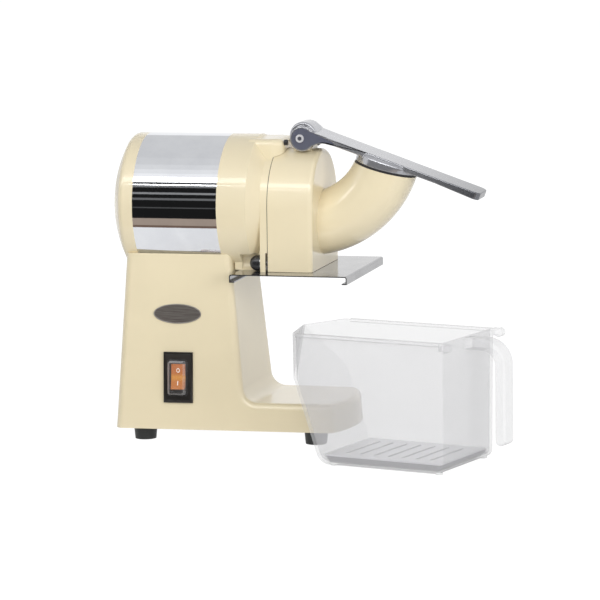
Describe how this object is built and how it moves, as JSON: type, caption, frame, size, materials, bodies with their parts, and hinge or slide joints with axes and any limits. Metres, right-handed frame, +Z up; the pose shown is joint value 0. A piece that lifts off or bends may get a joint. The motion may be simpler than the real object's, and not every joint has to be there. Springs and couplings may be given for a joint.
{
  "type": "electric ice crusher",
  "caption": "Table-top electric ice crusher: cream castings, mirror steel motor band, pusher lever over an elbow hopper, guarded rocker switch and a clear ice bin with a handle.",
  "frame": {"origin": "on the table, in the middle between the four rubber feet", "axes": "+X along the motor axis from the domed cap to the hopper, +Y away from the user who faces the switch, +Z up"},
  "size_m": [0.5153, 0.338, 0.3777],
  "materials": {
    "cream_paint": "smooth semi-gloss paint",
    "mirror_steel": "mirror polished",
    "bright_aluminium": "polished casting",
    "bright_sheet": "bright stainless sheet",
    "stainless": "satin stainless",
    "dark_plastic": "satin",
    "black_rubber": "matt",
    "amber_rocker": "translucent, glossy",
    "clear_plastic": "clear moulding",
    "grey_drainer": "satin",
    "plain_steel": "machined",
    "lamination_steel": "stacked sheet",
    "copper_winding": "varnished wire",
    "fan_plastic": "moulded",
    "white_plastic": "moulded",
    "badge_metal": "brushed, bare"
  },
  "bodies": {
    "machine": {"stand_casting": "cream_paint", "rear_cap": "cream_paint", "crusher_housing": "cream_paint", "hopper_cover": "cream_paint", "base_plate": "plain_steel", "motor_band": "mirror_steel", "deflector_plate": "bright_sheet", "plate_screws": "stainless", "foot_screws": "stainless", "rubber_foot_rear_near": "black_rubber", "rubber_foot_rear_far": "black_rubber", "rubber_foot_front_near": "black_rubber", "rubber_foot_front_far": "black_rubber", "motor_frame": "plain_steel", "motor_frame_bolts": "stainless", "stator_core": "lamination_steel", "stator_windings": "copper_winding", "rear_end_shield": "plain_steel", "rear_bearing": "plain_steel", "front_bearing": "plain_steel", "shaft_seal": "black_rubber", "cover_gasket": "black_rubber", "clamp_studs": "stainless", "clamp_washers": "stainless", "lever_buffers": "black_rubber", "switch_bezel": "dark_plastic", "switch_block": "dark_plastic", "switch_hood": "clear_plastic", "badge_plate": "badge_metal", "cord_gland": "black_rubber", "run_capacitor": "white_plastic", "terminal_block": "white_plastic"},
    "crusher_rotor": {"rotor_core": "lamination_steel", "motor_shaft": "plain_steel", "cooling_fan": "fan_plastic", "crushing_disc": "stainless", "crusher_blades": "stainless", "disc_nut": "stainless"},
    "lever": {"pusher_lever": "bright_aluminium", "lever_side_cover_near": "dark_plastic", "lever_side_cover_far": "dark_plastic", "lever_pin": "stainless", "lid_seal": "black_rubber", "ice_pusher": "bright_aluminium"},
    "rocker": {"switch_rocker": "amber_rocker"},
    "knob_near": {"clamp_knob_near": "dark_plastic"},
    "knob_far": {"clamp_knob_far": "dark_plastic"},
    "ice_bin": {"bin_shell": "clear_plastic"},
    "drainer": {"bin_drainer": "grey_drainer"}
  },
  "joints": [
    {"name": "rotor_spin", "type": "hinge", "parent": "machine", "child": "crusher_rotor", "pos_m": [0, 0, 0.279], "axis": [1, 0, 0], "continuous": true},
    {"name": "lever_hinge", "type": "hinge", "parent": "machine", "child": "lever", "pos_m": [0.0825, 0, 0.359], "axis": [0, -1, 0], "range_deg": [0, 90]},
    {"name": "switch_rock", "type": "hinge", "parent": "machine", "child": "rocker", "pos_m": [-0.05839, -0.07074, 0.07701], "axis": [0.9995, 0.03, 0], "range_deg": [0, 16]},
    {"name": "knob_near_turn", "type": "hinge", "parent": "machine", "child": "knob_near", "pos_m": [0.0337, -0.057, 0.2139], "axis": [1, 0, 0], "continuous": true},
    {"name": "knob_far_turn", "type": "hinge", "parent": "machine", "child": "knob_far", "pos_m": [0.0337, 0.057, 0.2139], "axis": [1, 0, 0], "continuous": true},
    {"name": "bin_lift", "type": "slide", "parent": "machine", "child": "ice_bin", "axis": [0, -0.8, 0.6], "range_m": [0, 0.3]},
    {"name": "drainer_lift", "type": "slide", "parent": "ice_bin", "child": "drainer", "axis": [0, 0, 1], "range_m": [0, 0.18]}
  ]
}
